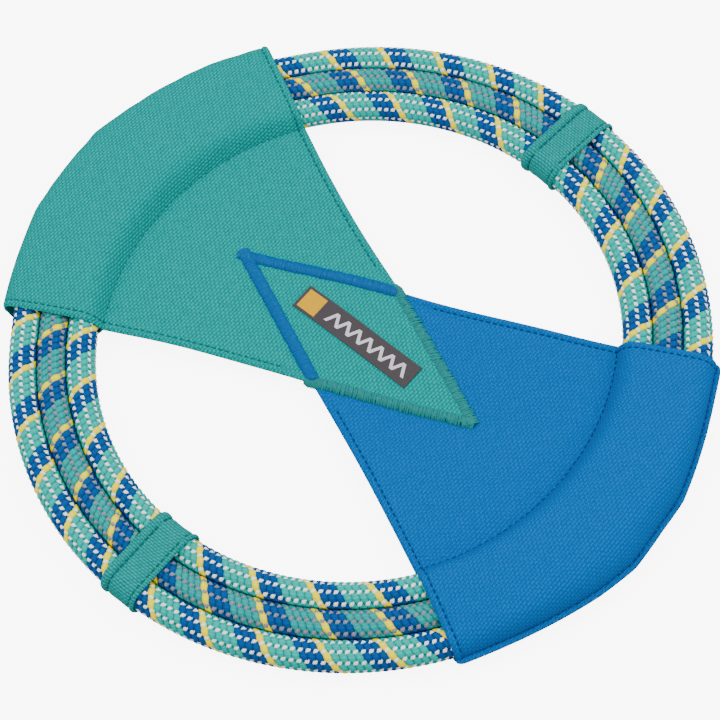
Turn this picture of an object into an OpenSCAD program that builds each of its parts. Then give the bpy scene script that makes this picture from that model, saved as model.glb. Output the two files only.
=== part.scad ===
// Soft flying ring. Three braided ropes lie side by side as concentric loops. Two double-layer
// fabric fans wrap the loops in sewn sleeves, cross over each other in the middle and are sewn
// together there. Two narrow folded bands, the keepers, bunch the loops between the fans.
// The ring lies flat on z = 0 with its centre on the Z axis. +Y points at the teal fan.

/* [Ropes] */
// Diameter of each rope over its braided sheath
rope_d = 9.8; // [9.4:0.1:9.8]
// Distance between neighbouring rope centre lines
rope_pitch = 10; // [10:0.1:10.3]
// Radius of the middle loop's centre line
ring_r = 102; // [101:0.5:103]
// Wall of the braided sheath around the core
sheath_wall = 1.2; // [0.8:0.1:1.6]
// Length of the wrap that joins the two butted ends of a loop
splice_len = 12; // [8:1:16]

/* [Fans] */
// Distance from the ring's centre to the middle of a fan's rim
rim_reach = 123.7; // [123:0.1:125]
// Half the width between the outer corners of a sleeve
corner_x = 66.5; // [66:0.5:68]
// How far up the fan those outer corners lie
corner_y = 99.5; // [99.5:0.5:100.5]
// How far up the fan the inner corners of the sleeve lie
mouth_y = 69; // [67:0.5:70]
// Width of the crossing in the middle of the ring
neck_w = 44; // [40:1:48]
// How far a fan's tip reaches past the ring's centre
tip_reach = 52; // [48:1:56]
// Thickness of one layer of fabric
fabric_t = 0.5; // [0.4:0.05:0.6]
// Space between the ropes and the top panel
top_ease = 1.3; // [1.1:0.1:1.4]
// Space between the ropes and the bottom panel
bottom_ease = 0.9; // [0.8:0.1:1]

/* [Keepers] */
// Width of each keeper along the ropes
keeper_w = 14; // [12:0.5:16]
// Running clearance between a keeper and the ropes
keeper_gap = 0.3; // [0.25:0.05:0.35]
// Width of the folded lip along each edge of a keeper
lip_w = 2.6; // [2:0.1:3]
// Where the right keeper rests, measured from the +X axis
right_rest = -4; // [-10:1:10]
// Where the left keeper rests, measured from the -X axis
left_rest = 1; // [-10:1:10]

/* [Trim] */
// Width of the label
label_w = 9.2; // [8:0.2:10]
// Length of the label
label_len = 49; // [40:1:52]
// Width of the satin stitch along a fan's tip
satin_w = 3.4; // [3:0.1:4]
// Width of a line of stitching
thread_w = 0.5; // [0.4:0.1:0.6]
// Distance from a hemmed edge to its line of stitching
hem_inset = 2.4; // [2:0.1:3]

/* [Hidden] */
$fn = 96; // facets on the ropes' own circles
ring_fn = 180; // facets on circles as large as the ring

TEAL = [0.13, 0.56, 0.52];
BLUE = [0.02, 0.34, 0.66];
AQUA = [0.30, 0.75, 0.72];
GREY = [0.45, 0.60, 0.60];
WHITE = [0.92, 0.92, 0.88];
CHARCOAL = [0.20, 0.19, 0.21];
DARK_TEAL = [0.08, 0.40, 0.38];
DARK_BLUE = [0.01, 0.24, 0.50];

// Ropes
rope_r = rope_d / 2;
r_inner = ring_r - rope_pitch;
r_outer = ring_r + rope_pitch;
core_fit = 0.05;
butt_gap = 0.2;
splice_t = 0.45;
splice_over = 1; // the cut that makes room for the splice reaches this far past the sheath
splice_step = 9; // degrees between the splices of neighbouring loops

// Heights: the lowest fabric touches z = 0, and the two fans' flat layers stack at mid_z.
// Everything lies between z_min and z_max, so slabs that only cut reach from one to the other.
mid_z = rope_r + bottom_ease + fabric_t;
top_h = rope_r + top_ease;
bottom_h = rope_r + bottom_ease;
z_min = -1;
z_max = 20;

// Fan outline: the straight sides run from the tip to the mouth, and the rim is one arc
side_slope = neck_w / 2 / tip_reach;
mouth_x = side_slope * (tip_reach + mouth_y);
rim_c = (rim_reach^2 - corner_x^2 - corner_y^2) / (2 * (rim_reach - corner_y));
rim_r = rim_reach - rim_c;
side_angle = atan(side_slope);
mouth_angle = atan((corner_x - mouth_x) / (corner_y - mouth_y));
mouth_extra = 12; // length added beyond the corner before the rim cuts it
mouth_len = norm([corner_x - mouth_x, corner_y - mouth_y]) + mouth_extra;

// Thread
thread_h = 0.25;
seam_gap = 0.7; // from the raised sleeve to the seams that close it
rim_stitch_r = r_outer + top_h + fabric_t + seam_gap;
rim_stitch_span = 56; // degrees
channel_stitch_r = r_inner - top_h - fabric_t - seam_gap;
channel_stitch_span = 72; // degrees
hem_start = 6; // the hems' stitching starts this far from the crossing
satin_h = 0.4;
satin_out = 1; // part of the satin stitch that lies beyond the cut edge
satin_arm_gap = 1.5; // the satin stitch stops this far short of the crossing's corners
satin_blunt = 1.5; // cut off the satin stitch's sharp point
label_t = 0.4;

// Keepers
keeper_h = rope_r + keeper_gap;
lip_h = mid_z - keeper_h - fabric_t;
tack_w = 1.2;

// Cross-section around all three ropes, h away from their centre lines
module bundle_section(h) {
    for (r = [r_inner, r_outer]) {
        translate([r, mid_z]) circle(h);
    }
    translate([r_inner, mid_z - h]) square([r_outer - r_inner, 2 * h]);
}

// Solid of revolution between two distances from the rope centre lines
module bundle_shell(h_in, h_out) {
    rotate_extrude($fn = ring_fn) {
        difference() {
            bundle_section(h_out);
            bundle_section(h_in);
        }
    }
}

// Flat ring between two radii
module disc_ring(r_in, r_out) {
    difference() {
        circle(r_out, $fn = ring_fn);
        circle(r_in, $fn = ring_fn);
    }
}

// ---- ropes ----
// Part of a loop's round section, from one angle on through a span of degrees
module loop(r, r_in, r_out, start, span) {
    rotate([0, 0, start]) rotate_extrude(angle = span, $fn = ring_fn) {
        translate([r, mid_z]) difference() {
            circle(r_out);
            if (r_in > 0) circle(r_in);
        }
    }
}

function degrees_along(r, length) = length / r * 180 / PI;

// The wrap round the joint of a loop, centred at one angle
module splice_ring(r, at, r_out = rope_r) {
    span = degrees_along(r, splice_len);
    loop(r, rope_r - splice_t, r_out, at - span / 2, span);
}

// The braid is squeezed thinner under the splice
module sheath(r, at) {
    gap = degrees_along(r, butt_gap);
    difference() {
        loop(r, 0, rope_r, at + gap / 2, 360 - gap);
        loop(r, 0, rope_r - sheath_wall, 0, 360);
        splice_ring(r, at, rope_r + splice_over);
    }
}

// The core runs inside the sheath and is butted end to end under the splice
module core(r, at) {
    gap = degrees_along(r, butt_gap);
    loop(r, 0, rope_r - sheath_wall - core_fit, at + gap / 2, 360 - gap);
}

module outer_rope_sheath() { color(AQUA) sheath(r_outer, 90 - splice_step); }
module outer_rope_core() { color(WHITE) core(r_outer, 90 - splice_step); }
module outer_rope_splice() { color(WHITE) splice_ring(r_outer, 90 - splice_step); }
module middle_rope_sheath() { color(GREY) sheath(ring_r, 90); }
module middle_rope_core() { color(WHITE) core(ring_r, 90); }
module middle_rope_splice() { color(WHITE) splice_ring(ring_r, 90); }
module inner_rope_sheath() { color(AQUA) sheath(r_inner, 90 + splice_step); }
module inner_rope_core() { color(WHITE) core(r_inner, 90 + splice_step); }
module inner_rope_splice() { color(WHITE) splice_ring(r_inner, 90 + splice_step); }

// ---- fans ----
// One fan seen from above: a pointed tip, straight sides, slanting sleeve mouths and a round rim
module fan_outline() {
    out_x = corner_x + mouth_extra * sin(mouth_angle);
    out_y = corner_y + mouth_extra * cos(mouth_angle);
    beyond = rim_reach + mouth_extra;
    intersection() {
        polygon([[0, -tip_reach], [mouth_x, mouth_y], [out_x, out_y], [out_x, beyond],
            [-out_x, beyond], [-out_x, out_y], [-mouth_x, mouth_y]]);
        translate([0, rim_c]) circle(rim_r, $fn = ring_fn);
    }
}

// A panel is flat inside and outside the sleeve, and arches over or under the ropes between
module panel(join_z, h, up) {
    flat_z = up ? join_z : join_z - fabric_t;
    union() {
        translate([0, 0, flat_z]) linear_extrude(fabric_t) difference() {
            fan_outline();
            disc_ring(r_inner - h, r_outer + h);
        }
        intersection() {
            bundle_shell(h, h + fabric_t);
            translate([0, 0, up ? join_z : join_z - z_max]) linear_extrude(z_max) fan_outline();
        }
    }
}

// A straight upright slab along a sleeve mouth, hem_inset inside its edge
module mouth_slab(side, low, high) {
    translate([side * mouth_x, mouth_y, low]) rotate([0, 0, -side * mouth_angle])
        translate([-side * hem_inset - thread_w / 2, 0, 0])
            cube([thread_w, mouth_len, high - low]);
}

// Stitches sunk into the outside of a sleeve, next to both mouths
module mouth_stitches(join_z, h, up) {
    intersection() {
        bundle_shell(h + fabric_t - thread_h, h + fabric_t);
        for (side = [-1, 1]) {
            mouth_slab(side, up ? join_z + fabric_t : z_min, up ? z_max : join_z - fabric_t);
        }
    }
}

module top_panel(join_z) {
    difference() {
        panel(join_z, top_h, true);
        mouth_stitches(join_z, top_h, true);
    }
}

module bottom_panel(join_z) {
    difference() {
        panel(join_z, bottom_h, false);
        mouth_stitches(join_z, bottom_h, false);
    }
}

teal_z = mid_z + fabric_t;
blue_z = mid_z - fabric_t;

module teal_fan_top_panel() { color(TEAL) top_panel(teal_z); }
module teal_fan_bottom_panel() { color(TEAL) bottom_panel(teal_z); }
module blue_fan_top_panel() { color(BLUE) rotate([0, 0, 180]) top_panel(blue_z); }
module blue_fan_bottom_panel() { color(BLUE) rotate([0, 0, 180]) bottom_panel(blue_z); }

// ---- stitching ----
// The same line of thread on the top and on the bottom face of a fan
module both_faces(join_z) {
    for (z = [join_z + fabric_t, join_z - fabric_t - thread_h]) {
        translate([0, 0, z]) linear_extrude(thread_h) children();
    }
}

// A thin arc of thread round the Z axis, centred on +Y
module arc_line(r, span) {
    intersection() {
        disc_ring(r - thread_w / 2, r + thread_w / 2);
        polygon([[0, 0], [2 * r * sin(span / 2), 2 * r * cos(span / 2)],
            [-2 * r * sin(span / 2), 2 * r * cos(span / 2)]]);
    }
}

// The seam outside the ropes
module rim_stitching(join_z) {
    both_faces(join_z) arc_line(rim_stitch_r, rim_stitch_span);
}

// The seam inside the ropes
module channel_stitching(join_z) {
    both_faces(join_z) arc_line(channel_stitch_r, channel_stitch_span - 2 * hem_inset);
}

// The stitching along both straight sides and both sleeve mouths
module hem_stitching(join_z) {
    length = norm([mouth_x - neck_w / 2, mouth_y]) - hem_start - hem_inset;
    both_faces(join_z) for (side = [-1, 1]) {
        translate([side * neck_w / 2, 0]) rotate(-side * side_angle)
            translate([-side * hem_inset - thread_w / 2, hem_start]) square([thread_w, length]);
    }
    mouth_stitches(join_z, top_h, true);
    mouth_stitches(join_z, bottom_h, false);
}

module teal_rim_stitching() { color(DARK_TEAL) rim_stitching(teal_z); }
module blue_rim_stitching() { color(DARK_BLUE) rotate([0, 0, 180]) rim_stitching(blue_z); }
module teal_channel_stitching() { color(DARK_TEAL) channel_stitching(teal_z); }
module blue_channel_stitching() { color(DARK_BLUE) rotate([0, 0, 180]) channel_stitching(blue_z); }
module teal_hem_stitching() { color(DARK_TEAL) hem_stitching(teal_z); }
module blue_hem_stitching() { color(DARK_BLUE) rotate([0, 0, 180]) hem_stitching(blue_z); }

// The V along a fan's tip, from out beyond its cut edge to inner inside it
module tip_band(out, inner) {
    x_out = neck_w / 2 + out / cos(side_angle);
    x_in = neck_w / 2 - inner / cos(side_angle);
    difference() {
        polygon([[0, -tip_reach - out / sin(side_angle)], [x_out, 0], [-x_out, 0]]);
        polygon([[0, -tip_reach + inner / sin(side_angle)], [x_in, 0], [x_in, satin_arm_gap],
            [-x_in, satin_arm_gap], [-x_in, 0]]);
        translate([-neck_w, -satin_arm_gap]) square([2 * neck_w, 2 * satin_arm_gap]);
        translate([-neck_w, -tip_reach - satin_blunt - neck_w]) square([2 * neck_w, neck_w]);
    }
}

// Satin stitch: it wraps the cut edge on its own side and shows as a V on the far side
module tip_satin(wrap_on_top) {
    far = 2 * fabric_t;
    wrap_low = wrap_on_top ? mid_z : mid_z - far - satin_h;
    difference() {
        translate([0, 0, wrap_low]) linear_extrude(far + satin_h)
            tip_band(satin_out, satin_w - satin_out);
        translate([0, 0, mid_z - far]) linear_extrude(2 * far) fan_outline();
    }
    translate([0, 0, wrap_on_top ? mid_z - far - satin_h : mid_z + far]) linear_extrude(satin_h)
        tip_band(0, satin_w);
}

module teal_tip_satin() { color(DARK_TEAL) tip_satin(true); }
module blue_tip_satin() { color(DARK_BLUE) rotate([0, 0, 180]) tip_satin(false); }

module label() {
    color(CHARCOAL) translate([-label_w / 2, -label_len / 2, mid_z + 2 * fabric_t])
        cube([label_w, label_len, label_t]);
}

// ---- keepers ----
// An upright slab across all three ropes on the +X side, between two distances along them
module across_slab(from, to) {
    translate([r_inner - 2 * rope_d, from, z_min]) cube([ring_r, to - from, z_max - z_min]);
}

// A flat band round the ropes, with a thicker folded lip along each edge
module keeper() {
    half = keeper_w / 2;
    intersection() {
        bundle_shell(keeper_h, keeper_h + fabric_t);
        across_slab(-half, half);
    }
    intersection() {
        bundle_shell(keeper_h, keeper_h + fabric_t + lip_h);
        union() {
            across_slab(-half, -half + lip_w);
            across_slab(half - lip_w, half);
        }
    }
}

// One line of stitching beside each lip, and a bar tack underneath where the strip is closed
module keeper_stitching() {
    line = keeper_w / 2 - lip_w - thread_w;
    intersection() {
        bundle_shell(keeper_h + fabric_t, keeper_h + fabric_t + thread_h);
        union() {
            across_slab(-line - thread_w / 2, -line + thread_w / 2);
            across_slab(line - thread_w / 2, line + thread_w / 2);
        }
    }
    translate([ring_r - tack_w / 2, -line + thread_w, mid_z - keeper_h - fabric_t - thread_h])
        cube([tack_w, 2 * line - 2 * thread_w, thread_h]);
}

module right_keeper() { color(TEAL) rotate([0, 0, right_rest]) keeper(); }
module right_keeper_stitching() { color(DARK_TEAL) rotate([0, 0, right_rest]) keeper_stitching(); }
module left_keeper() { color(TEAL) rotate([0, 0, 180 + left_rest]) keeper(); }
module left_keeper_stitching() { color(DARK_TEAL) rotate([0, 0, 180 + left_rest]) keeper_stitching(); }

outer_rope_sheath();
outer_rope_core();
outer_rope_splice();
middle_rope_sheath();
middle_rope_core();
middle_rope_splice();
inner_rope_sheath();
inner_rope_core();
inner_rope_splice();
teal_fan_top_panel();
teal_fan_bottom_panel();
blue_fan_top_panel();
blue_fan_bottom_panel();
teal_rim_stitching();
blue_rim_stitching();
teal_channel_stitching();
blue_channel_stitching();
teal_hem_stitching();
blue_hem_stitching();
teal_tip_satin();
blue_tip_satin();
label();
right_keeper();
right_keeper_stitching();
left_keeper();
left_keeper_stitching();
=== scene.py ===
import math

import bpy
import numpy as np
from mathutils import Matrix


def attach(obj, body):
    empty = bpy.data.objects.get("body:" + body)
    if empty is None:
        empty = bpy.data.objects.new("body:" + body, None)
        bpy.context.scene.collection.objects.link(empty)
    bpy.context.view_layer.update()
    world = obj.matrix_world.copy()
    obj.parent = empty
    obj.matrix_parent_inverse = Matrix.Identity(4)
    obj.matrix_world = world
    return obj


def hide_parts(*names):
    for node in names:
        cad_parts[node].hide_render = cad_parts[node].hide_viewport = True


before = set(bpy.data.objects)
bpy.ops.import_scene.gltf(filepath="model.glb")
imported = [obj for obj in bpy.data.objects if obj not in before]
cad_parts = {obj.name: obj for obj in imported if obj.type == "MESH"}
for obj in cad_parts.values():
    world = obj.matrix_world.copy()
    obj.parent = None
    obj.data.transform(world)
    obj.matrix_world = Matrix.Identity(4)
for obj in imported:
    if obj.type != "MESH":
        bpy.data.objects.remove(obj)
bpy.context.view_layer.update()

# Sizes and places are in millimetres, and build() writes them to a mesh in metres.
MM = 0.001
rng = np.random.default_rng(7)

# ---- ropes: three closed loops side by side ----
ROPE_R = 4.9
MID_Z = 6.3  # height of the rope centre lines
LOOPS = {"outer": 112.0, "middle": 102.0, "inner": 92.0}  # radii of the centre lines
SQUEEZE = {"outer": -0.18, "middle": 0.0, "inner": 0.18}  # the soft braids press together
TURNS = {"outer": 36, "middle": 33, "inner": 30}  # turns a yarn makes around its rope
SPLICE_AT = {"outer": 81.0, "middle": 90.0, "inner": 99.0}  # degrees
SPLICE_LEN = 12.0
SPLICE_DIP = 0.5  # how far the braid is drawn in over a splice
BULGE = 0.2  # how much of its width a rope gains where it presses on its neighbour
CONTACT = 5.0  # half the distance between two centre lines
PRESS_SOFT = 0.3  # the braid starts to flatten this far short of the contact
CREASE_SHADE = (0.6, 0.35)  # painted shade in the groove starts this far short of it and deepens over this
BOW = 2.4  # how far the outer loop is pulled outwards inside the teal sleeve
BOW_SPAN = math.radians(32.5)
BOW_SHARE = {"outer": 1.0, "middle": 0.8, "inner": 0.6}

# ---- yarns of the braid ----
YARNS = 8  # in each direction
STEPS = 3  # points between two crossings
OUTER_ORDER = (0, 0, 0, 0, 1, 1, 1, 2)  # aqua, blue, yellow
INNER_ORDER = (2, 1, 1, 1, 0, 0, 0, 0)
# A yarn's domed section, in shares of its width and its thickness.
YARN_SECTION = np.array([(-0.5, 0), (-0.36, 0.36), (0, 0.5), (0.36, 0.36), (0.5, 0), (0, -0.5)])
YARN_SIDES = len(YARN_SECTION)
# Distance from the rope's centre line, the wave that crossing adds to it, and the light
# yarns' extra rise where they pass over a coloured one.
COLOURED_R, COLOURED_WAVE = 4.36, 0.18
LIGHT_R, LIGHT_WAVE, LIGHT_RISE = 4.05, 0.05, 0.63
COLOURED_SIZE = (2.12, 0.98)  # width and thickness
LIGHT_WIDTH = {"outer": 1.15, "middle": 1.25, "inner": 1.15}
LIGHT_THICK = 0.66
COLOURED_FLARE, LIGHT_FLARE = 0.1, 0.25  # how much wider a yarn is where it rides high

# ---- fans: two panels each, in the frame of the teal fan, whose middle line is +Y ----
NECK = 22.0  # half width of the crossing
TIP = 52.0
MOUTH = (51.19, 69.0)  # inner corner of a sleeve
CORNER = (66.5, 99.5)  # outer corner of a sleeve
FAN_HALF = 33.8  # degrees from a fan's middle to its outer corner
CHANNEL_R = 86.0  # the seam that closes the sleeve on its inner side
RIM_C, RIM_R = 20.23, 103.47  # centre height and radius of the rim's arc
CLOTH = 0.5
JOIN = {"teal": 6.8, "blue": 5.8}  # height where a fan's two panels meet
TURN = {"teal": 0.0, "blue": math.pi}
WAIST = {"teal": 1.3, "blue": 0.7}  # how far the sides curve in between crossing and mouth

# ---- the rim ----
SEAM_IN = 2.0  # the rim seam lies this far inside the rim
RIM_TUCK = {"teal": 0.0, "blue": 1.2}  # how much the sewn rim drew in from its cut line
RIM_SHIFT = {"teal": 1.4, "blue": 0.0}  # how far the whole rim is pulled outwards
# Uneven pull of the ropes on the rim: degrees from the fan's middle, and millimetres outwards.
RIM_PULL = {"teal": ((-34, 0.3), (-20, 0.1), (0, 0.9), (16, 2.7), (24, 3.2), (34, 2.2)),
            "blue": ((-34, 0.0), (-28, -0.5), (-4, -1.5), (10, 0.0), (24, 0.0), (34, 0.0))}
# The rim runs a little straighter between these creases, in degrees from the fan's middle.
FACETS = {"teal": (-FAN_HALF, -14.7, 1.4, FAN_HALF), "blue": (-FAN_HALF, -9.8, 3.2, FAN_HALF)}
FACET_R, FACET_SHARE = 120.0, 0.5
CORNER_ROUND = 3.2  # the lip outside the rim seam rounds off this close to the mouths

# ---- the sleeve's section. A loft grows from nothing at the mouths to all of it between ----
ROPE_GAP = 0.15  # between rope and cloth
LOFT = {"top": 1.6, "bottom": 0.45}  # how much higher than a snug fit
OUTER_LOFT, INNER_LOFT, CHANNEL_LOFT = 2.4, 0.5, 0.9  # and how much wider, at each place
OVERHANG = {"teal": 2.0, "blue": 0.1}  # how far the top bulges out over the rim seam
BOTTOM_OVERHANG = 0.3
CROWN = (0.25, 1.5)  # rise over the middle rope, at the mouths and added in the middle
CROWN_R, CROWN_SPAN = 101.5, 15.0
MOUTH_R = 116.0  # distance at which a section's angle is taken
SMOOTHING = 10

# ---- rows and columns of a panel ----
SECTIONS = 61
FLAT_ROWS = 88
SLEEVE_ROWS = 56
LIP_ROWS = 4
COLUMNS = 96
RIM_SEAM_ROW = FLAT_ROWS + SLEEVE_ROWS - 2
TIP_SHARE = 0.025  # the first row's place between tip and channel seam
HEM_STEPS = (0.0, 0.35, 0.8, 1.4, 1.9, 2.4, 2.9, 3.6)  # distances from a hemmed edge
HEM_RISE = (-0.2, 0.18, 0.42, 0.48, 0.32, -0.2, 0.12, 0.06)
HEM_IN = 2.4  # the hem stitches' distance from the edge
HEM_ROW = 36  # the hem starts at this row and is whole HEM_FADE rows on
HEM_FADE = 8
HEM_STITCH_ROW = 44
SEAM_DIP, CHANNEL_DIP = -0.1, -0.12  # where stitches pull the cloth in
CHANNEL_ENDS = 6  # columns beside each hem that the channel seam's dip leaves out
LIP_RISE = (0.22, 0.3, 0.2, -0.2)

# ---- stitches ----
STITCH = 2.3
STITCH_SHARE = 0.74
CHANNEL_THREAD = {"teal": (0.4, 0.12), "blue": (0.6, 0.34)}  # width and height of a stitch
THREAD_SIDES = 6
# Along a thread: place, plumpness, and level as a share of its height. Its ends dip under.
THREAD_AT = np.array([0.0, 0.16, 0.5, 0.84, 1.0])
THREAD_PLUMP = np.array([0.45, 0.95, 1.0, 0.95, 0.45])
THREAD_SHOULDER = 0.62

# ---- satin along the tips: a wrap over the cut edge, and the V flat on the far side ----
SATIN_STEP = 0.5
SATIN_W = {"wrap": 4.2, "flat": 5.0}
SATIN_H = {"wrap": 0.8, "flat": 1.3}
SATIN_OUT = {"wrap": 1.5, "flat": 1.8}  # how far it reaches beyond the fan's cut edge
SATIN_RUN = {"wrap": (1.4, 0.0), "flat": (-0.8, -1.0)}  # its ends, past tip and crossing
SATIN_DROP = {"wrap": 0.9, "flat": 0.0}  # how much lower its outer ends are
SATIN_LOOSE = {"wrap": 0.28, "flat": 0.1}
SHOULDER = {"teal": 3.2, "blue": 0.0}  # how far a wrap runs on past the crossing

# ---- label ----
LABEL = (9.2, 49.0)
LABEL_T = 0.4
PATCH = (7.4, 7.5)
PATCH_IN = 1.1  # from the label's end
ZIGZAG = (2.3, 7, 1.1)  # half height of its line, teeth, width
ZIGZAG_ENDS = (3.0, 12.5)  # distances from the label's two ends
MARK_T = 0.08

# ---- keepers ----
KEEPER_IN = 5.06  # inside of a keeper, from the rope centre lines
KEEPER_REST = {"right": -4.0, "left": 181.0}  # degrees
KEEPER_FACING = {"right": 1, "left": -1}  # which edge has the broad hem
KEEPER_POINTS = 96
# A keeper's section: distance along the ropes from its middle, height off its inside. One
# edge is a broad flat hem and the other a narrow rolled one.
KEEPER_OUTSIDE = ((-7.05, 0.3), (-7.0, 0.7), (-6.6, 0.98), (-6.0, 1.0), (-5.5, 0.74),
                  (-5.2, 0.22), (-4.85, 0.3), (-4.3, 0.62), (-3.2, 0.6), (-1.6, 0.52), (0, 0.54),
                  (1.6, 0.58), (2.8, 0.6), (3.4, 0.5), (3.75, 0.12), (4.1, 0.16), (4.35, 0.62),
                  (4.8, 0.96), (5.5, 1.06), (6.2, 1.0), (6.8, 0.78), (7.1, 0.4))
KEEPER_INSIDE = ((6.9, 0.02), (5.5, 0.0), (3.5, 0.0), (1.5, 0.0), (-1.5, 0.0), (-3.5, 0.0),
                 (-5.5, 0.0), (-6.9, 0.02))
KEEPER_SEAMS = (3.9, -5.1)  # the two rows of stitches, along the ropes from its middle
BAR_COUNT = 16  # stitches that close the keeper underneath
BAR_HALF = 0.7
BAR_SPAN = 3.0

# ---- camera ----
CAMERA_EL = math.radians(61.4696)
CAMERA_ROLL = math.radians(-10.257)
CAMERA_TURN = math.radians(-39.7255)
CAMERA_DIST = 748.32
CAMERA_OFF = (1.010, -7.211)
LENS = 113.087
SENSOR = 36.0


# ---- mesh helpers ----
def unit(v):
    return v / np.maximum(np.linalg.norm(v, axis=-1, keepdims=True), 1e-9)


def run_length(line):
    """Distance travelled along a line at each of its points."""
    return np.concatenate([[0], np.cumsum(np.linalg.norm(np.diff(line, axis=0), axis=1))])


def along(line, at):
    """The points at the given distances along a line."""
    d = run_length(line)
    return np.stack([np.interp(at, d, line[:, k]) for k in range(3)], -1)


def grid_quads(rows, cols, wrap_rows=False, wrap_cols=False):
    """Faces of a grid of points numbered row by row, closed up along either direction."""
    r = np.arange(rows if wrap_rows else rows - 1)[:, None]
    c = np.arange(cols if wrap_cols else cols - 1)[None, :]
    r2, c2 = (r + 1) % rows, (c + 1) % cols
    corners = (r * cols + c, r * cols + c2, r2 * cols + c2, r2 * cols + c)
    return np.stack(corners, -1).reshape(-1, 4)


def border(rows, cols):
    """Numbers of the grid's outline points, in order around it."""
    n = np.arange(rows * cols).reshape(rows, cols)
    return np.concatenate([n[0, :-1], n[:-1, -1], n[-1, :0:-1], n[:0:-1, 0]])


def copies(quads, count, stride):
    """The same faces again for each of count equal blocks of vertices."""
    return (quads[None] + stride * np.arange(count)[:, None, None]).reshape(-1, 4)


def join(parts):
    """Several (vertices, faces, cut points) as one."""
    verts, quads, cuts, base = [], [], [], 0
    for v, q, c in parts:
        verts.append(v)
        quads.append(q + base)
        cuts.append(c)
        base += len(v)
    return np.concatenate(verts), np.concatenate(quads), np.concatenate(cuts)


def spun(points, angle):
    """points turned about the ring's axis."""
    c, s = math.cos(angle), math.sin(angle)
    x, y = points[..., 0], points[..., 1]
    return np.stack([c * x - s * y, s * x + c * y, points[..., 2]], -1)


def add_cut(mesh, quads, cut, period):
    corners = cut[quads]
    if period:
        behind = corners[..., 1].max(1, keepdims=True) - corners[..., 1] > period / 2
        corners[..., 1] += period * behind
    layer = mesh.uv_layers.new(name="cut")
    layer.data.foreach_set("uv", corners.astype(np.float32).ravel())


def build(name, verts, quads, materials, index=None, cut=None, smooth=True, period=0,
          crease_shade=None):
    """A mesh object. cut holds a point of the flat cloth or yarn for each vertex, period is
    the length after which a closed loop of it starts again, and the last argument says for each
    vertex how deep it lies in the groove between ropes, which sets its painted shade."""
    mesh = bpy.data.meshes.new(name)
    mesh.vertices.add(len(verts))
    mesh.vertices.foreach_set("co", (verts * MM).astype(np.float32).ravel())
    mesh.loops.add(quads.size)
    mesh.loops.foreach_set("vertex_index", quads.astype(np.int32).ravel())
    mesh.polygons.add(len(quads))
    mesh.polygons.foreach_set("loop_start", np.arange(0, quads.size, 4, dtype=np.int32))
    for material in materials:
        mesh.materials.append(material)
    if index is not None:
        mesh.polygons.foreach_set("material_index", index.astype(np.int32))
    mesh.polygons.foreach_set("use_smooth", np.full(len(quads), smooth))
    if cut is not None:
        add_cut(mesh, quads, cut, period)
    mesh.update(calc_edges=True)
    mesh.validate()
    if crease_shade is not None:
        layer = mesh.attributes.new("crease_shade", "FLOAT", "POINT")
        layer.data.foreach_set("value", crease_shade.astype(np.float32).ravel())
    obj = bpy.data.objects.new(name, mesh)
    bpy.context.scene.collection.objects.link(obj)
    return obj


def place(obj, body, node):
    """Put a piece on the body it rides on and hide the node it stands for."""
    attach(obj, body)
    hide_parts(node)


# ---- materials ----
class Nodes:
    """Short ways to add shader nodes to one material."""

    def __init__(self, name, rough):
        self.mat = bpy.data.materials.new(name)
        self.mat.use_nodes = True
        self.tree = self.mat.node_tree
        self.out = next(n for n in self.tree.nodes if n.type == "BSDF_PRINCIPLED")
        self.out.inputs["Roughness"].default_value = rough
        self.out.inputs["Specular IOR Level"].default_value = 0.05

    def put(self, socket, value):
        if isinstance(value, bpy.types.NodeSocket):
            self.tree.links.new(value, socket)
        else:
            socket.default_value = value

    def math(self, op, a, b=0.0):
        n = self.tree.nodes.new("ShaderNodeMath")
        n.operation = op
        self.put(n.inputs[0], a)
        self.put(n.inputs[1], b)
        return n.outputs[0]

    def add(self, *terms):
        total = terms[0]
        for term in terms[1:]:
            total = self.math("ADD", total, term)
        return total

    def times(self, a, b):
        return self.math("MULTIPLY", a, b)

    def wave(self, angle):
        return self.math("COSINE", angle)

    def cut(self):
        """The two coordinates of the flat cloth or yarn."""
        n = self.tree.nodes.new("ShaderNodeUVMap")
        n.uv_map = "cut"
        s = self.tree.nodes.new("ShaderNodeSeparateXYZ")
        self.put(s.inputs[0], n.outputs[0])
        return s.outputs[0], s.outputs[1]

    def noise_at(self, vector, scale, detail):
        n = self.tree.nodes.new("ShaderNodeTexNoise")
        n.inputs["Scale"].default_value = scale
        n.inputs["Detail"].default_value = detail
        self.put(n.inputs["Vector"], vector)
        return n.outputs[0]

    def noise(self, x, y, scale, detail=2.0):
        c = self.tree.nodes.new("ShaderNodeCombineXYZ")
        self.put(c.inputs[0], x)
        self.put(c.inputs[1], y)
        return self.noise_at(c.outputs[0], scale, detail)

    def solid_noise(self, scale, detail=2.0):
        t = self.tree.nodes.new("ShaderNodeTexCoord")
        return self.noise_at(t.outputs["Object"], scale, detail)

    # how deep a point lies in the groove between ropes, which sets its painted shade
    def crease_shade(self):
        n = self.tree.nodes.new("ShaderNodeAttribute")
        n.attribute_name = "crease_shade"
        return n.outputs["Fac"]

    def mix(self, low, high, amount):
        """The base colour: low where amount is 0 and high where it is 1."""
        n = self.tree.nodes.new("ShaderNodeMix")
        n.data_type = "RGBA"
        self.put(n.inputs[6], low)
        self.put(n.inputs[7], high)
        self.put(n.inputs[0], amount)
        self.put(self.out.inputs["Base Color"], n.outputs[2])
        return n.outputs[2]

    def bump(self, height, depth, strength=1.0):
        n = self.tree.nodes.new("ShaderNodeBump")
        n.inputs["Strength"].default_value = strength
        n.inputs["Distance"].default_value = depth
        self.put(n.inputs["Height"], height)
        self.put(self.out.inputs["Normal"], n.outputs[0])


def shade(colour, factor):
    """A colour brightened or darkened, with its alpha."""
    return (*(min(1.0, c * factor) for c in colour), 1.0)


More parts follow.
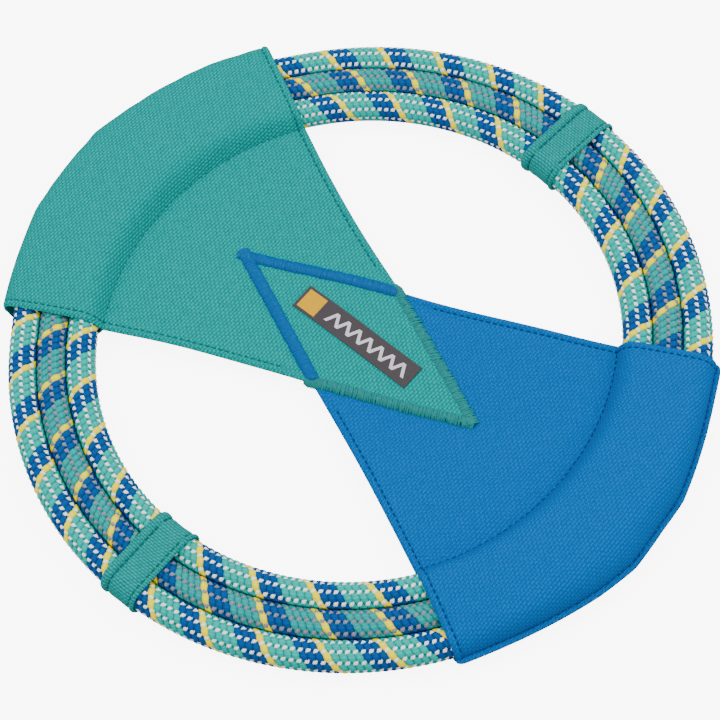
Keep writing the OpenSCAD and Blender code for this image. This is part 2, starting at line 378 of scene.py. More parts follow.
def woven(name, dark, light, warp=1.69, weft=1.11, mix=(0.28, 0.18, 0.11, 0.11)):
    """Weave of thick yarns: rows of bright floats that lean along one diagonal. The colour
    follows the weave's bump height: painted highlight on the floats and painted shade between
    them.
    warp is the distance between floats in a row and weft the distance between rows. mix says how
    strongly the rows, the lean, the other diagonal and the fine columns show."""
    n = Nodes(name, 0.8)
    x, y = n.cut()
    drift = n.times(n.noise(x, y, 0.06), 1.6)
    u = n.times(n.add(x, drift), 2 * math.pi / warp)
    v = n.times(n.add(y, drift), math.pi / weft)
    waves = (n.times(v, 2.0), n.math("SUBTRACT", u, v), n.add(u, v), n.times(u, 1.7))
    knit = n.add(*(n.times(n.wave(w), share) for w, share in zip(waves, mix)))
    blotch = n.math("SUBTRACT", n.noise(x, y, 0.4), 0.5)
    # painted shade and painted highlight: dark in the weave's hollows, light on its floats, with
    # blotches of uneven tone
    n.mix(shade(dark, 1), shade(light, 1), n.add(knit, n.times(blotch, 0.4), 0.5))
    n.bump(knit, 0.00035)
    return n.mat


def braid(name, colour, gloss=0.03, low=0.6, high=1.4):
    """A braided yarn with painted shade: darker along its edges, where it dips under another one
    and in the groove between ropes. low and high are the factors for its darkest painted shade
    and its lightest painted highlight."""
    n = Nodes(name, 0.45)
    n.out.inputs["Specular IOR Level"].default_value = gloss
    x, y = n.cut()
    # painted shade and painted highlight on each yarn: darker where it dips under another one
    # and along its edges, lighter between
    rise = n.wave(n.times(y, 2 * math.pi))
    edge = n.times(n.math("POWER", n.math("ABSOLUTE", x), 2.0), 4.0)
    strands = n.noise(n.times(x, 14.0), n.times(y, 3.0), 1.0)
    twist = n.wave(n.add(n.times(y, 8 * math.pi), n.times(x, 7.0)))
    tone = n.add(n.times(rise, -0.22), n.times(edge, -0.3), n.times(twist, 0.16), strands, 0.1)
    # lit: the yarn's colour painted with shade and highlight between the low and high factors
    lit = n.mix(shade(colour, low), shade(colour, high), tone)
    # painted shade: darkened towards black by the depth in the groove between ropes
    n.mix(lit, shade(colour, 0), n.times(n.crease_shade(), 0.92))
    n.bump(strands, 0.00012, 0.8)
    return n.mat


def thread(name, colour, gloss=0.05):
    """A bundle of filaments running along a short stitch."""
    n = Nodes(name, 0.4)
    n.out.inputs["Specular IOR Level"].default_value = gloss
    x, y = n.cut()
    strands = n.noise(n.times(x, 5.0), n.times(y, 0.8), 1.0)
    n.mix(shade(colour, 0.5), shade(colour, 1.5), strands)
    n.bump(strands, 0.00012, 0.8)
    return n.mat


def plain(name, colour, rough=0.7, scale=900.0):
    """A fine even grain."""
    n = Nodes(name, rough)
    grain = n.solid_noise(scale)
    n.mix(shade(colour, 0.85), shade(colour, 1.15), grain)
    n.bump(grain, 0.0001, 0.6)
    return n.mat


MATERIALS = {
    "teal": woven("teal_cloth", (0.0, 0.141, 0.137), (0.0, 0.348, 0.326)),
    "blue": woven("blue_cloth", (0.0, 0.074, 0.295), (0.0, 0.132, 0.40)),
    "keeper": woven("keeper_cloth", (0.004, 0.111, 0.109), (0.012, 0.348, 0.33),
                    warp=1.5, weft=0.92, mix=(0.28, 0.13, 0.08, 0.08)),
    "aqua_yarn": braid("aqua_yarn", (0.0, 0.33, 0.285)),
    "dull_yarn": braid("dull_yarn", (0.01, 0.25, 0.244)),
    "blue_yarn": braid("blue_yarn", (0.0, 0.056, 0.207)),
    "yellow_yarn": braid("yellow_yarn", (0.84, 0.70, 0.0), low=0.85, high=1.2),
    "white_yarn": braid("white_yarn", (0.93, 0.98, 1.0), gloss=0.5, low=0.9),
    "grey_yarn": braid("grey_yarn", (0.24, 0.25, 0.31)),
    # stitch threads: a darker thread than the cloth, made darker still as painted shade of the
    # stitch holes
    "teal_thread": thread("teal_thread", (0.003, 0.09, 0.09)),
    "blue_thread": thread("blue_thread", (0.0, 0.03, 0.126)),
    "teal_satin": thread("teal_satin", (0.009, 0.175, 0.173), gloss=0.1),
    "blue_satin": thread("blue_satin", (0.0, 0.092, 0.29), gloss=0.15),
    "core": plain("core_fibre", (0.41, 0.41, 0.385)),
    "tape": plain("splice_tape", (0.46, 0.445, 0.385), rough=0.45),
    "label": plain("label_ground", (0.055, 0.048, 0.053), scale=1600.0),
    "amber": plain("label_amber", (0.59, 0.31, 0.007), scale=1600.0),
    "light": plain("label_light", (0.53, 0.52, 0.58), scale=1600.0),
}


# ---- ropes ----
def bow(theta):
    """How far the outer loop stands out of round: a broad bump inside the teal sleeve."""
    return BOW * np.exp(-(((theta % (2 * math.pi)) - math.pi / 2) / BOW_SPAN) ** 8)


def loop_radius(loop, theta):
    return LOOPS[loop] + SQUEEZE[loop] + BOW_SHARE[loop] * bow(theta)


def press(loop, points):
    """The braid flattened where it meets its neighbours, and how deep each point lies in the
    groove between the two, which sets how dark its painted shade is."""
    theta = np.arctan2(points[..., 1], points[..., 0])
    r = np.hypot(points[..., 0], points[..., 1])
    d = r - loop_radius(loop, theta)
    spare = 0.1 + 0.1 * bow(theta)  # neighbours bow less and less, so they part a little
    room = CONTACT - abs(SQUEEZE["outer"]) / 2 + spare
    wide = np.abs(d) * (1 + BULGE * (d / ROPE_R) ** 2)
    over = np.maximum(wide - room + PRESS_SOFT, 0)
    flat = np.minimum(wide, room - PRESS_SOFT + PRESS_SOFT * (1 - np.exp(-over / PRESS_SOFT)))
    meets = ((d > 0) & (loop != "outer")) | ((d < 0) & (loop != "inner"))
    scale = (r - d + np.where(meets, np.sign(d) * flat, d)) / r
    # painted shade: the deeper a point lies in the groove between ropes, the darker it is
    # painted
    crease_shade = np.where(meets, np.clip((flat - room + CREASE_SHADE[0]) / CREASE_SHADE[1], 0, 1), 0)
    return points * np.stack([scale, scale, np.ones_like(scale)], -1), crease_shade


def yarn_paths(loop, hand, height):
    """Centre points and outward directions of the yarns of one hand, and how high each
    point rides: 1 over a crossing yarn, -1 under it."""
    count = TURNS[loop] * 2 * YARNS * STEPS
    theta = np.linspace(0, 2 * math.pi, count, endpoint=False)
    radius = loop_radius(loop, theta)
    ride = hand * np.cos(math.pi * np.arange(count) / STEPS)
    start = 2 * math.pi * np.arange(YARNS)[:, None] / YARNS
    psi = start + hand * TURNS[loop] * theta[None, :]
    out = np.stack([np.cos(psi) * np.cos(theta), np.cos(psi) * np.sin(theta), np.sin(psi)], -1)
    away = np.abs((theta - math.radians(SPLICE_AT[loop])) * radius)
    pressed = SPLICE_DIP * np.clip((SPLICE_LEN / 2 + 2 - away) / 2, 0, 1)
    rho = height(ride) - pressed
    line = np.stack([radius * np.cos(theta), radius * np.sin(theta), 0 * theta + MID_Z], -1)
    return line[None] + rho[None, :, None] * out, out, ride


def make_yarns(loop, kind, hand, height, width, thick, flare, materials, order):
    """All the yarns of one hand, closed and with a domed section. A cut point's second number
    counts a yarn's own ups and downs. order says which material each yarn has."""
    centre, out, ride = yarn_paths(loop, hand, height)
    ahead = unit(np.roll(centre, -1, 1) - np.roll(centre, 1, 1))
    across = unit(np.cross(ahead, out))
    spread = width * (1 + flare * ride)
    sides = YARN_SECTION[None, None, :, 0, None] * spread[None, :, None, None]
    rise = YARN_SECTION[None, None, :, 1, None] * thick
    points = centre[:, :, None] + sides * across[:, :, None] + rise * out[:, :, None]
    steps = points.shape[1]
    waves = steps / (2 * STEPS)
    cut = np.empty((YARNS, steps, YARN_SIDES, 2))
    cut[..., 0] = YARN_SECTION[:, 0]
    cut[..., 1] = (np.arange(steps) * waves / steps)[None, :, None]
    cut[..., 1] += 2 * waves * np.arange(YARNS)[:, None, None]
    one = grid_quads(steps, YARN_SIDES, True, True)[:, ::hand]
    points, crease_shade = press(loop, points)
    piece = build(f"{loop}_rope_{kind}_yarns", points.reshape(-1, 3),
                  copies(one, YARNS, steps * YARN_SIDES), materials,
                  np.repeat(np.array(order), len(one)), cut.reshape(-1, 2), period=waves,
                  crease_shade=crease_shade)
    place(piece, "ring",
          loop + "_rope_sheath")


def coloured_height(ride):
    return COLOURED_R + COLOURED_WAVE * ride


def light_height(ride):
    return LIGHT_R + LIGHT_WAVE * ride + LIGHT_RISE * np.clip(ride, 0, 1) ** 2


def make_rope(loop):
    aqua, pale = ("dull_yarn", "grey_yarn") if loop == "middle" else ("aqua_yarn", "white_yarn")
    colours = [MATERIALS[key] for key in (aqua, "blue_yarn", "yellow_yarn")]
    order = OUTER_ORDER if loop == "outer" else INNER_ORDER
    make_yarns(loop, "coloured", -1, coloured_height, *COLOURED_SIZE, COLOURED_FLARE, colours,
               order)
    make_yarns(loop, "light", 1, light_height, LIGHT_WIDTH[loop], LIGHT_THICK, LIGHT_FLARE,
               [MATERIALS[pale]], (0,) * YARNS)
    paint(loop + "_rope_core", MATERIALS["core"])
    paint(loop + "_rope_splice", MATERIALS["tape"])


def paint(node, material):
    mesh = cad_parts[node].data
    mesh.materials.clear()
    mesh.materials.append(material)


# ---- fans: the unevenness of the cloth ----
def wave(x, y):
    """Soft unevenness that all the flat cloth layers share. It fades towards the ropes."""
    calm = 1 - np.clip((np.hypot(x, y) - 60) / 24, 0, 1) ** 2
    w = 0.55 * np.sin(0.071 * x + 0.043 * y + 0.6) + 0.45 * np.sin(0.052 * x - 0.088 * y + 2.1)
    w += 0.16 * np.sin(0.15 * x + 0.11 * y + 4.0)
    return w * calm


def wave_in(colour, x, y):
    """The shared unevenness, seen from one fan's own frame."""
    s = -1 if TURN[colour] else 1
    return wave(s * x, s * y)


def pucker(phi, away):
    """Small puckers across a seam, dying out away from it."""
    ripple = 0.6 * np.sin(61 * phi + 0.5) + 0.4 * np.sin(97 * phi + 2.0) + 0.4 * np.sin(37 * phi)
    return 0.34 * ripple * np.exp(-np.abs(away) / 5.0) * np.clip(np.abs(away) / 1.2, 0, 1)


# ---- fans: the outline ----
def facet(colour, phi):
    """How far a rim made of straight runs between creases falls inside the round one."""
    corners = np.radians(FACETS[colour])
    k = np.clip(np.searchsorted(corners, phi) - 1, 0, len(corners) - 2)
    mid, half = (corners[k] + corners[k + 1]) / 2, (corners[k + 1] - corners[k]) / 2
    return FACET_R * (np.cos(half) / np.cos(phi - mid) - 1)


def sewn_rim(colour, phi):
    """Distance of the rim from the ring's centre, at angle phi from the fan's middle."""
    cut_line = RIM_C * np.cos(phi) + np.sqrt(RIM_R**2 - (RIM_C * np.sin(phi)) ** 2)
    u = np.clip(phi / math.radians(FAN_HALF), -1, 1)
    at, pull = np.array(RIM_PULL[colour]).T
    drawn = RIM_SHIFT[colour] - RIM_TUCK[colour] * (1 - u**4)
    drawn = drawn + np.interp(phi, np.radians(at), pull)
    return cut_line + drawn + FACET_SHARE * facet(colour, phi)


def half_angle(r):
    """Angle from the fan's middle line to its mouth, at distance r from the centre."""
    ys = np.linspace(MOUTH[1] - 6, CORNER[1] + 12, 60)
    slope = (CORNER[0] - MOUTH[0]) / (CORNER[1] - MOUTH[1])
    xs = MOUTH[0] + slope * (ys - MOUTH[1])
    return np.interp(r, np.hypot(xs, ys), np.arctan2(xs, ys))


# ---- fans: the sleeve's section ----
def upper_hull(points):
    """The upper side of the convex outline of points, from left to right."""
    hull = []
    for p in sorted(points):
        while len(hull) > 1:
            (ax, ay), (bx, by) = hull[-2], hull[-1]
            if (bx - ax) * (p[1] - ay) - (by - ay) * (p[0] - ax) < 0:
                break
            hull.pop()
        hull.append(p)
    return np.array(hull)


def stretched(base, seam, full, tall):
    """Cloth pulled tight from the channel over the inner and outer ropes to the rim seam."""
    snug = ROPE_R + CLOTH / 2 + ROPE_GAP
    reach = seam - LOOPS["outer"] - 0.1
    wide = min(snug + OUTER_LOFT * full, reach)
    shift = max(0.0, reach - wide)
    turn = np.linspace(0, math.pi, 60)
    inner = LOOPS["inner"] + (snug + INNER_LOFT * full) * np.cos(turn)
    outer = LOOPS["outer"] + shift + wide * np.cos(turn)
    height = (snug + tall) * np.sin(turn)
    points = [(CHANNEL_R - CHANNEL_LOFT * full, base), (seam, base)]
    points += list(zip(inner, height)) + list(zip(outer, height))
    return upper_hull([(float(r), float(h)) for r, h in points if h >= base - 1e-6])


def section(colour, side, u):
    """One sleeve section from the channel to the rim seam: distances r, heights h off the
    rope centre plane and lengths run. u runs from -1 at one mouth to 1 at the other."""
    top = side == "top"
    full = (1 - u * u) ** 0.7
    base = (JOIN[colour] - MID_Z) * (1 if top else -1) + CLOTH / 2
    over = OVERHANG[colour] if top else BOTTOM_OVERHANG
    seam = float(sewn_rim(colour, u * half_angle(MOUTH_R))) - SEAM_IN + over
    hull = stretched(base, seam, full, LOFT[side] * full)
    d = run_length(hull)
    at = np.linspace(0, d[-1], SLEEVE_ROWS)
    r, h = np.interp(at, d, hull[:, 0]), np.interp(at, d, hull[:, 1])
    if top:
        crown = np.clip(1 - ((r - CROWN_R) / CROWN_SPAN) ** 2, 0, 1)
        h = h + (CROWN[0] + CROWN[1] * full) * crown
    for _ in range(SMOOTHING):
        r[1:-1] = (r[:-2] + 2 * r[1:-1] + r[2:]) / 4
        h[1:-1] = (h[:-2] + 2 * h[1:-1] + h[2:]) / 4
    r -= over * np.clip((np.linspace(0, 1, SLEEVE_ROWS) - 0.9) / 0.1, 0, 1) ** 2
    return r, h, run_length(np.stack([r, h], -1))


# ---- fans: a panel's rows, each a row of places and of cut points ----
def edge_spacing(half_width):
    """Positions u across a row: fixed steps at both hems, even ones between them."""
    hem = np.array(HEM_STEPS) * min(1.0, half_width / 12)
    side = 1 - hem / half_width
    middle = np.linspace(-side[-1], side[-1], COLUMNS - 2 * len(hem) + 2)[1:-1]
    return np.concatenate([-side, middle, side[::-1]])


def at_angle(phi, r, *z):
    """Points at distance r from the ring's centre and angle phi from the fan's middle."""
    return np.stack([r * np.sin(phi), r * np.cos(phi), *z], -1)


def flat_rows(colour, sign, at, rs):
    """Rows from the tip to the channel seam."""
    flat_z = JOIN[colour] + sign * CLOTH / 2
    arc = float(half_angle(CHANNEL_R))
    rows = []
    for t in np.linspace(TIP_SHARE, 1, FLAT_ROWS):
        u = edge_spacing(t * CHANNEL_R * arc * 0.97)
        r = np.interp(u, at, rs[:, 0])
        x = t * r * np.sin(u * arc)
        y = -TIP + t * (r * np.cos(u * arc) + TIP)
        side = MOUTH[0] * np.clip(y + TIP, 1, None) / (MOUTH[1] + TIP)
        x = x * (1 - WAIST[colour] * np.sin(math.pi * np.clip(y / MOUTH[1], 0, 1)) / side)
        z = flat_z + wave_in(colour, x, y) + pucker(u * arc, (1 - t) * (r + TIP)) * (t > 0.8)
        rows.append((np.stack([x, y, z], -1), np.stack([x, y], -1)))
    return rows


def sleeve_rows(colour, sign, at, rs, hs, ls):
    """Rows over the ropes, from the channel seam to the rim seam, and on over the lip."""
    rows = []
    for k in range(1, SLEEVE_ROWS):
        middle = rs[SECTIONS // 2, k]
        u = edge_spacing(float(middle * half_angle(middle)))
        r, h, d = (np.interp(u, at, a[:, k]) for a in (rs, hs, ls))
        phi = u * half_angle(r)
        h = h + pucker(phi, d) + pucker(phi + 0.5, np.interp(u, at, ls[:, -1]) - d)
        far = np.interp(u, at, rs[:, 0]) + d
        rows.append((at_angle(phi, r, MID_Z + sign * h), at_angle(phi, far)))
    from_hem = (1 - np.abs(u)) * float(r.mean() * half_angle(r.mean()))
    rounding = np.sqrt(1 - (1 - np.clip(from_hem / CORNER_ROUND, 0, 1)) ** 2)
    for k in range(1, LIP_ROWS + 1):
        share = k / LIP_ROWS * (0.1 + 0.9 * rounding)
        r2 = r + share * (sewn_rim(colour, phi) - r)
        rows.append((at_angle(phi, r2, MID_Z + sign * h), at_angle(phi, far + r2 - r)))
    return rows


def panel_grid(colour, side):
    """Middle surface of a panel in its fan's own frame, and the flat cut point of each."""
    at = np.linspace(-1, 1, SECTIONS)
    sections = [section(colour, side, u) for u in at]
    rs, hs, ls = (np.array([s[k] for s in sections]) for k in range(3))
    sign = 1 if side == "top" else -1
    rows = flat_rows(colour, sign, at, rs) + sleeve_rows(colour, sign, at, rs, hs, ls)
    return tuple(np.array(grid) for grid in zip(*rows))


def grid_normals(grid, sign):
    n = unit(np.cross(np.gradient(grid, axis=1), np.gradient(grid, axis=0)))
    n[0], n[0, :, 2] = 0, 1
    return n * np.where(n[..., 2:].mean() * sign < 0, -1, 1)


def puff():
    """How far the outer face stands off beyond the plain thickness: the turned hems, the
    lip outside the rim seam, and the dips where stitches pull the cloth in."""
    rows = RIM_SEAM_ROW + 1 + LIP_ROWS
    hem = np.zeros(COLUMNS)
    hem[: len(HEM_RISE)] = HEM_RISE
    hem[-len(HEM_RISE) :] = HEM_RISE[::-1]
    fade = np.clip((np.arange(rows) - HEM_ROW) / HEM_FADE, 0, 1)
    rise = hem[None, :] * fade[:, None]
    rise[RIM_SEAM_ROW] = SEAM_DIP
    rise[RIM_SEAM_ROW + 1 :] = np.array(LIP_RISE)[:, None]
    rise[FLAT_ROWS - 1, CHANNEL_ENDS:-CHANNEL_ENDS] = CHANNEL_DIP
    rise[:, [0, -1]] = np.minimum(rise[:, [0, -1]], 0)
    return rise


def make_panel(colour, side):
    """One panel as closed cloth. Returns its outer face's points and directions."""
    name = f"{colour}_fan_{side}_panel"
    grid, cut = panel_grid(colour, side)
    top = side == "top"
    normal = grid_normals(grid, 1 if top else -1)
    outer = grid + (CLOTH / 2 + puff())[..., None] * normal
    inner = grid - CLOTH / 2 * normal
    rows, cols = grid.shape[:2]
    lap = rows * cols
    face = grid_quads(rows, cols)[:, :: -1 if top else 1]
    ring = border(rows, cols)
    wall = np.stack([ring, np.roll(ring, -1), np.roll(ring, -1) + lap, ring + lap], -1)
    quads = np.concatenate([face[:, ::-1], face + lap, wall[:, :: 1 if top else -1]])
    verts = np.concatenate([outer.reshape(-1, 3), inner.reshape(-1, 3)])
    cut_points = np.concatenate([cut.reshape(-1, 2)] * 2)
    obj = build(name + "_cloth", spun(verts, TURN[colour]), quads, [MATERIALS[colour]], None,
                cut_points)
    place(obj, "ring", name)
    return spun(outer, TURN[colour]), spun(normal, TURN[colour])


# ---- thread ----
def threads(starts, ends, up, width, height, sink=0.12):
    """Short arched threads: vertices, faces and cut points."""
    count = len(starts)
    level = np.array([-sink, THREAD_SHOULDER * height, height, THREAD_SHOULDER * height, -sink])
    level -= height / 2
    up = unit(up)
    across = unit(np.cross(ends - starts, up))
    centre = starts[:, None] + THREAD_AT[None, :, None] * (ends - starts)[:, None]
    centre = centre + level[None, :, None] * up[:, None]
    turn = np.arange(THREAD_SIDES) * 2 * math.pi / THREAD_SIDES
    w = (width / 2 * THREAD_PLUMP)[None, :, None, None] * np.cos(turn)[None, None, :, None]
    h = (height / 2 * THREAD_PLUMP)[None, :, None, None] * np.sin(turn)[None, None, :, None]
    pts = centre[:, :, None] + w * across[:, None, None] + h * up[:, None, None]
    last = (len(THREAD_AT) - 1) * THREAD_SIDES
    caps = np.array([(3, 2, 1, 0), (5, 4, 3, 0), (last, last + 1, last + 2, last + 3),
                     (last, last + 3, last + 4, last + 5)])
    one = np.concatenate([grid_quads(len(THREAD_AT), THREAD_SIDES, False, True), caps])
    quads = copies(one, count, len(THREAD_AT) * THREAD_SIDES)
    cut = np.empty((*pts.shape[:3], 2))
    cut[..., 0] = w[..., 0]
    cut[..., 1] = 3 * THREAD_AT[None, :, None] + 7 * np.arange(count)[:, None, None]
    return pts.reshape(-1, 3), quads, cut.reshape(-1, 2)


def stitch_run(line, normals, width=0.6, height=0.34):
    """A row of stitches along a line on the cloth."""
    d = run_length(line)
    begin = np.arange(0.4, d[-1] - STITCH, STITCH)
    end = begin + STITCH * STITCH_SHARE
    up = np.stack([np.interp((begin + end) / 2, d, normals[:, k]) for k in range(3)], -1)
    lift = 0.3 * height * unit(up)
    return threads(along(line, begin) + lift, along(line, end) + lift, up, width, height)


def make_stitching(colour, faces):
    """Rim, channel and hem stitches of one fan, on its top and bottom cloth."""
    hem = HEM_STEPS.index(HEM_IN)
    inside = slice(hem, -hem)
    run = slice(HEM_STITCH_ROW, RIM_SEAM_ROW + 1)
    rows = {"rim": [], "channel": [], "hem": []}
    for outer, normal in faces:
        rows["rim"].append(stitch_run(outer[RIM_SEAM_ROW, inside], normal[RIM_SEAM_ROW, inside]))
        rows["channel"].append(stitch_run(outer[FLAT_ROWS - 1, inside],
                                          normal[FLAT_ROWS - 1, inside],
                                          *CHANNEL_THREAD[colour]))
        for col in (hem, COLUMNS - 1 - hem):
            rows["hem"].append(stitch_run(outer[run, col], normal[run, col]))
    for kind, parts in rows.items():
        verts, quads, cut = join(parts)
        node = f"{colour}_{kind}_stitching"
        piece = build(node + "_threads", verts, quads, [MATERIALS[colour + "_thread"]], None,
                      cut)
        place(piece, "ring", node)


# ---- satin along the tips ----
def satin_arm(side, kind, z, sign, colour):
    """Threads across one arm of a V. A wrap starts outside the cut edge, lower down, with
    uneven ends; a flat arm lies on the far side's cloth."""
    reach = SATIN_OUT[kind]
    tip, neck = np.array([0.0, -TIP]), np.array([side * NECK, 0.0])
    length = np.linalg.norm(neck - tip)
    way = (neck - tip) / length
    out = np.array([way[1], -way[0]]) * side
    stop = length + SATIN_RUN[kind][1] + (SHOULDER[colour] if kind == "wrap" else 0)
    at = np.arange(SATIN_RUN[kind][0], stop, SATIN_STEP)
    n = len(at)
    loose = SATIN_LOOSE[kind] * np.clip((length - at) / 4, 0, 1)
    rounded = np.clip(0.4 + (stop - at) / 3, 0, 1)
    begin = reach * rounded + loose * rng.normal(0, 1, n)
    end = SATIN_W[kind] - reach + 0.1 * rng.normal(0, 1, n)
    slant = rng.normal(0, 0.55, (n, 2)) * loose[:, None]
    a = tip + (at + slant[:, 0])[:, None] * way + begin[:, None] * out
    b = tip + (at + 0.3 + slant[:, 1])[:, None] * way - end[:, None] * out
    za = z - sign * SATIN_DROP[kind] + wave_in(colour, a[:, 0], a[:, 1])
    zb = z + wave_in(colour, b[:, 0], b[:, 1])
    a, b = np.column_stack([a, za]), np.column_stack([b, zb])
    up = np.tile([0.0, 0.0, float(sign)], (n, 1))
    return threads(a, b, up, SATIN_STEP * 1.5, SATIN_H[kind], 0.1)


def make_satin(colour):
    """The wrap over the tip's own cut edge, and the V that shows on the far side."""
    sign = 1 if colour == "teal" else -1
    near, far = MID_Z + sign * 2 * CLOTH, MID_Z - sign * 2 * CLOTH
    parts = []
    for side in (-1, 1):
        parts.append(satin_arm(side, "wrap", near, sign, colour))
        parts.append(satin_arm(side, "flat", far, -sign, colour))
    verts, quads, cut = join(parts)
    obj = build(colour + "_tip_satin_threads", spun(verts, TURN[colour]), quads,
                [MATERIALS[colour + "_satin"]], None, cut)
    place(obj, "ring", colour + "_tip_satin")


# ---- label ----
def slab(xs, ys, low, high):
    """A thin closed slab that follows the cloth's unevenness: a grid over xs and ys."""
    x, y = np.meshgrid(xs, ys)
    w = wave(x, y)
    rows, cols = x.shape
    lap = rows * cols
    face, ring = grid_quads(rows, cols), border(rows, cols)
    wall = np.stack([ring, ring + lap, np.roll(ring, -1) + lap, np.roll(ring, -1)], -1)
    top, bottom = np.stack([x, y, high + w], -1), np.stack([x, y, low + w], -1)
    verts = np.concatenate([top.reshape(-1, 3), bottom.reshape(-1, 3)])
    return verts, np.concatenate([face, face[:, ::-1] + lap, wall])


def zigzag(x_half, teeth, width, y_from, y_to, low, high):
    """A raised zigzag line, as one closed ribbon."""
    k = np.arange(2 * teeth + 1)
    y = y_from + (y_to - y_from) * k / (2 * teeth)
    x = np.where(k % 2 == 0, -x_half, x_half)
    slant = math.hypot(2 * x_half, (y_to - y_from) / (2 * teeth)) / (2 * x_half)
    off = width / 2 * slant
    corners = ((-off, high), (off, high), (off, low), (-off, low))
    pts = np.stack([np.stack([x, y + dy, z + wave(x, y)], -1) for dy, z in corners], 1)
    last = 4 * (len(k) - 1)
    caps = np.array([(3, 2, 1, 0), (last, last + 1, last + 2, last + 3)])
    return pts.reshape(-1, 3), np.concatenate([grid_quads(len(k), 4, False, True), caps])


def make_label():
    z = MID_Z + 2 * CLOTH
    top = z + LABEL_T
    mark = (top - 0.1, top + MARK_T)
    half_w, half_l = LABEL[0] / 2, LABEL[1] / 2
    patch_end = half_l - PATCH_IN
    ground = slab(np.linspace(-half_w, half_w, 7), np.linspace(-half_l, half_l, 40), z - 0.1,
                  top)
    patch = slab(np.linspace(-PATCH[0] / 2, PATCH[0] / 2, 6),
                 np.linspace(patch_end - PATCH[1], patch_end, 6), *mark)
    line = zigzag(*ZIGZAG, ZIGZAG_ENDS[0] - half_l, half_l - ZIGZAG_ENDS[1], *mark)
    for name, shape, material in (("ground", ground, "label"), ("amber_patch", patch, "amber"),
                                  ("zigzag", line, "light")):
        piece = build("label_" + name, *shape, [MATERIALS[material]], smooth=False)
        place(piece, "ring", "label")


# ---- keepers ----
def keeper_loop():
    """Points around the bundle at the keeper's inside, their outward directions, the
    distance round to each and the whole length."""
    straight, bend = LOOPS["outer"] - LOOPS["inner"], math.pi * KEEPER_IN
    total = 2 * (straight + bend)
    s = np.linspace(0, total, KEEPER_POINTS, endpoint=False)
    r, h, nr, nh = (np.zeros(KEEPER_POINTS) for _ in range(4))
    top = s < straight
    r[top], h[top], nh[top] = LOOPS["inner"] + s[top], KEEPER_IN, 1
    under = (s >= straight + bend) & (s < 2 * straight + bend)
    r[under], h[under] = LOOPS["outer"] - (s[under] - straight - bend), -KEEPER_IN
    nh[under] = -1
    outside = (s >= straight) & (s < straight + bend)
    inside = s >= 2 * straight + bend
    for end, loop, before, first in ((outside, "outer", straight, math.pi / 2),
                                     (inside, "inner", 2 * straight + bend, -math.pi / 2)):
        a = first - (s[end] - before) / KEEPER_IN
        nr[end], nh[end] = np.cos(a), np.sin(a)
        r[end], h[end] = LOOPS[loop] + KEEPER_IN * nr[end], KEEPER_IN * nh[end]
    return s, np.stack([r, h], -1), np.stack([nr, nh], -1), total


def bent(r, y, h):
    """A point r out, y along the ropes and h above their centres, bent along the ring."""
    return np.stack([np.sqrt(r * r - y * y), y, MID_Z + h], -1)


def make_keeper(side):
    s, loop, out, total = keeper_loop()
    shape = np.array(KEEPER_OUTSIDE + KEEPER_INSIDE)
    crumple = 1 + 0.05 * np.sin(s * 22 * math.pi / total)[:, None] * (shape[None, :, 1] > 0.6)
    lift = shape[None, :, 1] * np.minimum(crumple, 1.0)
    r = loop[:, None, 0] + lift * out[:, None, 0]
    h = loop[:, None, 1] + lift * out[:, None, 1]
    y = np.tile(KEEPER_FACING[side] * shape[:, 0], (len(s), 1))
    cut = np.stack(np.broadcast_arrays(shape[None, :, 0], s[:, None]), -1)
    quads = grid_quads(len(s), len(shape), True, True)[:, :: KEEPER_FACING[side]]
    angle = math.radians(KEEPER_REST[side])
    name = side + "_keeper"
    cloth = build(name + "_cloth", spun(bent(r, y, h).reshape(-1, 3), angle), quads,
                  [MATERIALS["keeper"]], None, cut.reshape(-1, 2), period=total)
    place(cloth, "keeper_" + side, name)
    make_keeper_stitches(side, loop, out, angle)


def make_keeper_stitches(side, loop, out, angle):
    """The two rows of stitches round a keeper, and the bar that closes it underneath."""
    parts = []
    closed = np.append(np.arange(len(loop)), 0)
    r, h = (loop + 0.24 * out)[closed].T
    up = np.stack([out[closed, 0], 0 * closed, out[closed, 1]], -1)
    for y in KEEPER_SEAMS:
        line = bent(r, np.full(len(r), KEEPER_FACING[side] * y), h)
        parts.append(stitch_run(line, up, 0.45, 0.3))
    bars = np.linspace(-BAR_SPAN, BAR_SPAN, BAR_COUNT)
    under = np.full(BAR_COUNT, -KEEPER_IN - 0.6)
    a, b = (bent(np.full(BAR_COUNT, LOOPS["middle"] + half), bars + step, under)
            for half, step in ((-BAR_HALF, 0), (BAR_HALF, 0.15)))
    parts.append(threads(a, b, np.tile([0.0, 0, -1.0], (BAR_COUNT, 1)), 0.5, 0.3))
    verts, quads, cut = join(parts)
    name = side + "_keeper_stitching"
    obj = build(name + "_threads", spun(verts, angle), quads, [MATERIALS["teal_thread"]], None,
                cut)
    place(obj, "keeper_" + side, name)


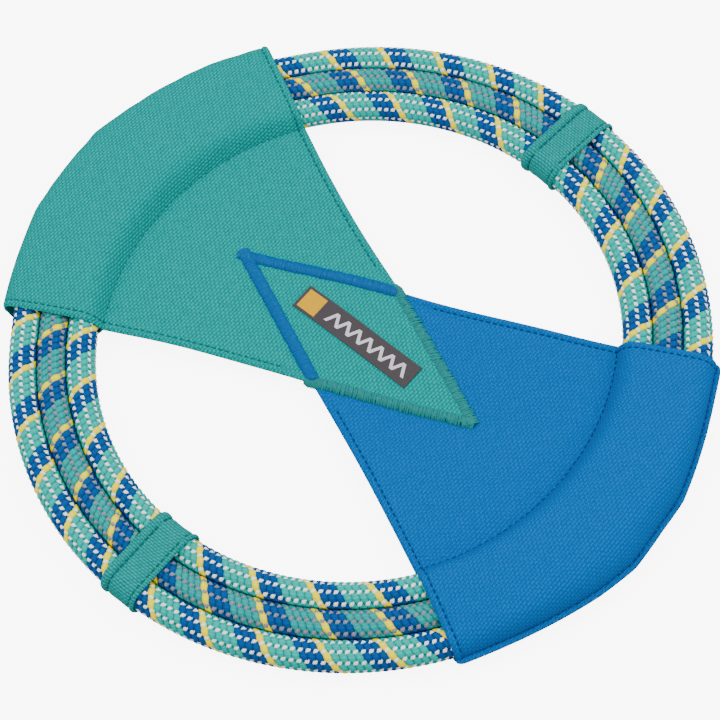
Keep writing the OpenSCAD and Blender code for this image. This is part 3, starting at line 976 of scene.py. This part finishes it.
# ---- studio ----
def make_floor():
    """A plain floor, bright enough to read as white, that sheds no light on the ring."""
    m = Nodes("floor", 0.9)
    m.out.inputs["Base Color"].default_value = (0.9, 0.9, 0.9, 1)
    m.out.inputs["Emission Color"].default_value = (1, 1, 1, 1)
    m.out.inputs["Emission Strength"].default_value = 7.0
    bpy.ops.mesh.primitive_plane_add(size=6)
    floor = bpy.context.object
    floor.name = "floor"
    floor.data.materials.append(m.mat)
    floor.visible_diffuse = floor.visible_glossy = False


def make_light(name, place_at, size, power):
    data = bpy.data.lights.new(name, "AREA")
    data.size, data.energy = size, power
    light = bpy.data.objects.new(name, data)
    light.location = place_at
    direction = -light.location
    light.rotation_euler = direction.to_track_quat("-Z", "Y").to_euler()
    bpy.context.scene.collection.objects.link(light)


def make_world():
    world = bpy.data.worlds.new("studio")
    world.use_nodes = True
    world.node_tree.nodes["Background"].inputs[0].default_value = (1, 1, 1, 1)
    world.node_tree.nodes["Background"].inputs[1].default_value = 0.92
    bpy.context.scene.world = world


def make_camera():
    back = np.array([0, -math.cos(CAMERA_EL), math.sin(CAMERA_EL)])
    right = np.array([1.0, 0, 0])
    up = np.cross(back, right)
    c, s = math.cos(CAMERA_ROLL), math.sin(CAMERA_ROLL)
    right, up = c * right + s * up, c * up - s * right
    eye = CAMERA_DIST * back + CAMERA_OFF[0] * right + CAMERA_OFF[1] * up + [0, 0, MID_Z]
    right, up, back, eye = (spun(v, CAMERA_TURN) for v in (right, up, back, eye))
    data = bpy.data.cameras.new("camera")
    data.lens, data.sensor_width, data.clip_start = LENS, SENSOR, 0.01
    camera = bpy.data.objects.new("camera", data)
    m = Matrix.Identity(4)
    for k, axis in enumerate((right, up, back, eye * MM)):
        for row in range(3):
            m[row][k] = axis[row]
    camera.matrix_world = m
    bpy.context.scene.collection.objects.link(camera)
    bpy.context.scene.camera = camera


for loop_name in LOOPS:
    make_rope(loop_name)
for fan in ("teal", "blue"):
    make_stitching(fan, [make_panel(fan, "top"), make_panel(fan, "bottom")])
    make_satin(fan)
make_label()
for keeper_side in KEEPER_REST:
    make_keeper(keeper_side)
make_floor()
make_world()
make_light("key", (-0.5, 0.9, 1.4), 1.2, 21)
make_light("fill", (0.8, -0.6, 1.2), 1.5, 22)
make_camera()
